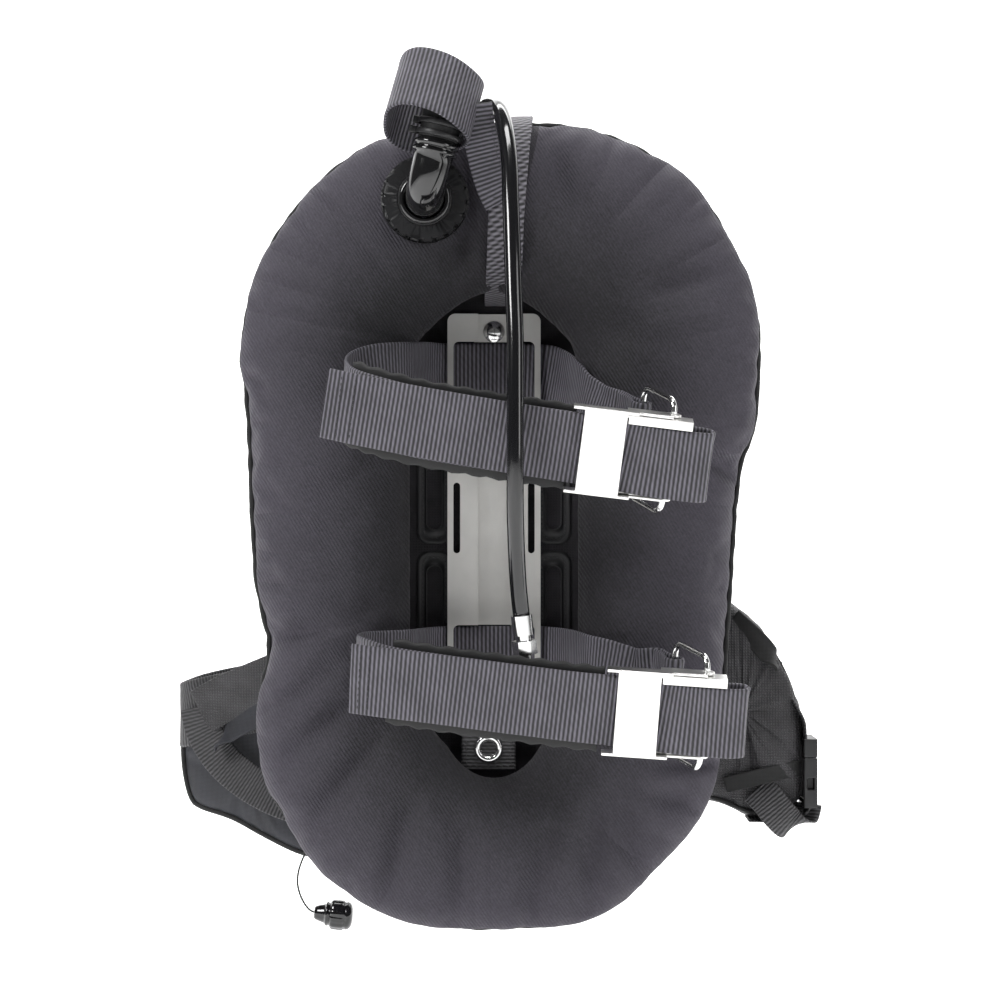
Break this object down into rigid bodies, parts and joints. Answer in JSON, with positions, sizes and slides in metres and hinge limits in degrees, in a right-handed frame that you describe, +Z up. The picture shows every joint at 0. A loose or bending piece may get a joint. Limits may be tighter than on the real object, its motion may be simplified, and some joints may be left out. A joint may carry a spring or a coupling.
{
  "type": "buoyancy compensator vest",
  "caption": "Donut-wing buoyancy vest with backplate harness, steel tank adapter, two cam bands, elbow inflator hose, low-pressure hose and pull dump valve.",
  "frame": {"origin": "under the fold of the carry strap at the top of the wing, where the vest hangs", "axes": "+Z up along the tank, -Y towards the tank's side, +Y towards the diver, +X to the right as seen from the tank's side"},
  "size_m": [0.489, 0.3959, 0.6504],
  "materials": {
    "wing_fabric": "twill nylon",
    "binding": "woven binding tape",
    "panel_fabric": "plain nylon",
    "patch_rubber": "satin coated",
    "steel_sheet": "bead-blasted stainless",
    "bright_steel": "polished",
    "plate_metal": "black powder coat",
    "pad_fabric": "padded mesh and nylon",
    "band_webbing": "ribbed nylon webbing",
    "harness_webbing": "nylon webbing",
    "band_rubber": "matt rubber",
    "gloss_plastic": "gloss",
    "moulded_plastic": "fine grain",
    "inflate_button": "gloss",
    "button_grey": "satin",
    "hose_rubber": "satin",
    "cord": "braided",
    "pocket_fabric": "coarse nylon"
  },
  "bodies": {
    "root": {"wing_bladder": "wing_fabric", "wing_binding": "binding", "centre_panel": "panel_fabric", "slot_patches": "patch_rubber", "sta_plate": "steel_sheet", "upper_buckle_frame": "steel_sheet", "lower_buckle_frame": "steel_sheet", "sta_bolts": "bright_steel", "sta_nuts": "bright_steel", "lp_ferrule": "bright_steel", "lp_fitting": "bright_steel", "qd_body": "bright_steel", "grommet": "bright_steel", "backplate": "plate_metal", "back_pad": "pad_fabric", "shoulder_pad_left": "pad_fabric", "shoulder_pad_right": "pad_fabric", "hip_pad_left": "pad_fabric", "upper_band": "band_webbing", "lower_band": "band_webbing", "hose_cuff": "band_webbing", "carry_strap": "harness_webbing", "lower_tab": "harness_webbing", "shoulder_strap_left": "harness_webbing", "shoulder_strap_right": "harness_webbing", "chest_strap": "harness_webbing", "waist_belt_left": "harness_webbing", "waist_belt_right": "harness_webbing", "upper_band_pad": "band_rubber", "lower_band_pad": "band_rubber", "mouthpiece": "band_rubber", "corrugated_hose": "band_rubber", "elbow": "gloss_plastic", "dump_knob": "gloss_plastic", "flange_base": "gloss_plastic", "elbow_ties": "moulded_plastic", "inflator_body": "moulded_plastic", "dump_body": "moulded_plastic", "dump_cap": "moulded_plastic", "chest_buckle_female": "moulded_plastic", "waist_buckle_female": "moulded_plastic", "pocket_buckle_female": "moulded_plastic", "lp_hose": "hose_rubber", "dump_cord": "cord", "weight_pocket": "pocket_fabric"},
    "upper_lever": {"upper_buckle_lever": "steel_sheet"},
    "lower_lever": {"lower_buckle_lever": "steel_sheet"},
    "upper_link": {"upper_wire_link": "bright_steel"},
    "lower_link": {"lower_wire_link": "bright_steel"},
    "screw_ring": {"flange_nut": "gloss_plastic"},
    "inflate": {"inflate_button": "inflate_button"},
    "deflate": {"deflate_button": "button_grey"},
    "qd_collar": {"qd_sleeve": "bright_steel"},
    "dump_lift": {"dump_seat": "button_grey"},
    "chest_prongs": {"chest_buckle_male": "moulded_plastic"},
    "waist_prongs": {"waist_buckle_male": "moulded_plastic"},
    "pocket_prongs": {"pocket_buckle_male": "moulded_plastic"}
  },
  "joints": [
    {"name": "upper_lever_turn", "type": "hinge", "parent": "root", "child": "upper_lever", "pos_m": [0.119, -0.14, -0.251], "axis": [0.1192, -0.2079, 0.9709], "range_deg": [0, 100]},
    {"name": "lower_lever_turn", "type": "hinge", "parent": "root", "child": "lower_lever", "pos_m": [0.144, -0.14, -0.431], "axis": [0.0687, -0.1736, 0.9824], "range_deg": [0, 100]},
    {"name": "upper_link_rock", "type": "hinge", "parent": "root", "child": "upper_link", "pos_m": [0.119, -0.14, -0.251], "axis": [0.1192, -0.2079, 0.9709], "range_deg": [-2, 2]},
    {"name": "lower_link_rock", "type": "hinge", "parent": "root", "child": "lower_link", "pos_m": [0.144, -0.14, -0.431], "axis": [0.0687, -0.1736, 0.9824], "range_deg": [-2, 2]},
    {"name": "screw_ring_turn", "type": "hinge", "parent": "root", "child": "screw_ring", "pos_m": [-0.053, -0.061, -0.063], "axis": [0, -1, 0], "continuous": true},
    {"name": "inflate_press", "type": "slide", "parent": "root", "child": "inflate", "axis": [0, -1, 0], "range_m": [0, 0.004], "stiffness_N_per_m": 800},
    {"name": "deflate_press", "type": "slide", "parent": "root", "child": "deflate", "axis": [0, 0, 1], "range_m": [0, 0.004], "stiffness_N_per_m": 800},
    {"name": "qd_collar_pull", "type": "slide", "parent": "root", "child": "qd_collar", "axis": [0, 0, 1], "range_m": [0, 0.003], "stiffness_N_per_m": 900},
    {"name": "dump_lift", "type": "slide", "parent": "root", "child": "dump_lift", "axis": [0, 1, 0], "range_m": [0, 0.006], "stiffness_N_per_m": 300},
    {"name": "chest_release", "type": "slide", "parent": "root", "child": "chest_prongs", "axis": [1, 0, 0], "range_m": [0, 0.02]},
    {"name": "waist_release", "type": "slide", "parent": "root", "child": "waist_prongs", "axis": [1, 0, 0], "range_m": [0, 0.036]},
    {"name": "pocket_release", "type": "slide", "parent": "root", "child": "pocket_prongs", "axis": [0, 0, 1], "range_m": [0, 0.03]}
  ]
}
